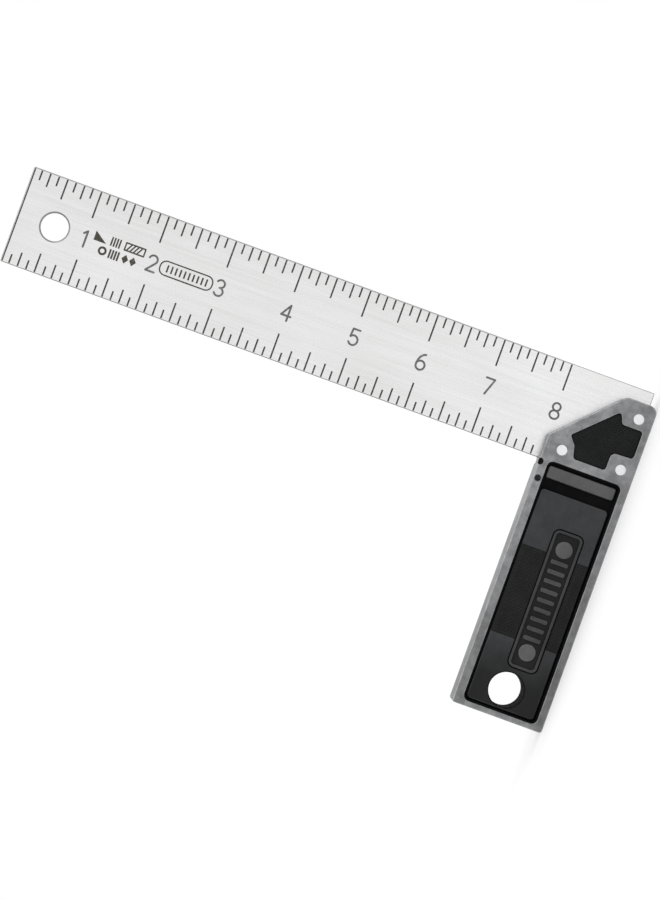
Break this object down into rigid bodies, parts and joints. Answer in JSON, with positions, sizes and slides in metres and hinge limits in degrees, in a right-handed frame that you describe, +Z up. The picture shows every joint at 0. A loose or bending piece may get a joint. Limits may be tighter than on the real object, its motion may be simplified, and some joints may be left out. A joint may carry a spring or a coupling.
{
  "type": "try square",
  "caption": "Try square for carpentry: a graduated steel blade riveted at a right angle into a die-cast stock with black grip inlays, a mitre shoulder and hanging holes.",
  "frame": {"origin": "on the stock's flat outer edge, which the square stands on, in line with the blade's inner edge and in the middle of the thickness", "axes": "+Z up along the blade to its tip, -X along the stock to its free end, -Y out of the front face"},
  "size_m": [0.127, 0.014, 0.2367],
  "materials": {
    "cast_alloy": "die-cast and ground, satin grey",
    "blade_steel": "finely brushed stainless, etched and inked graduations",
    "rivet_metal": "flush, polished",
    "grip_plastic": "black, satin, fine moulded grain with a rough grip band",
    "head_plastic": "black, matt, textured"
  },
  "bodies": {
    "root": {"stock_casting": "cast_alloy", "blade": "blade_steel", "rivet_head_top": "rivet_metal", "rivet_lower_outer": "rivet_metal", "rivet_lower_inner": "rivet_metal", "front_grip_inlay": "grip_plastic", "back_grip_inlay": "grip_plastic", "front_head_inlay": "head_plastic", "back_head_inlay": "head_plastic"}
  },
  "joints": []
}
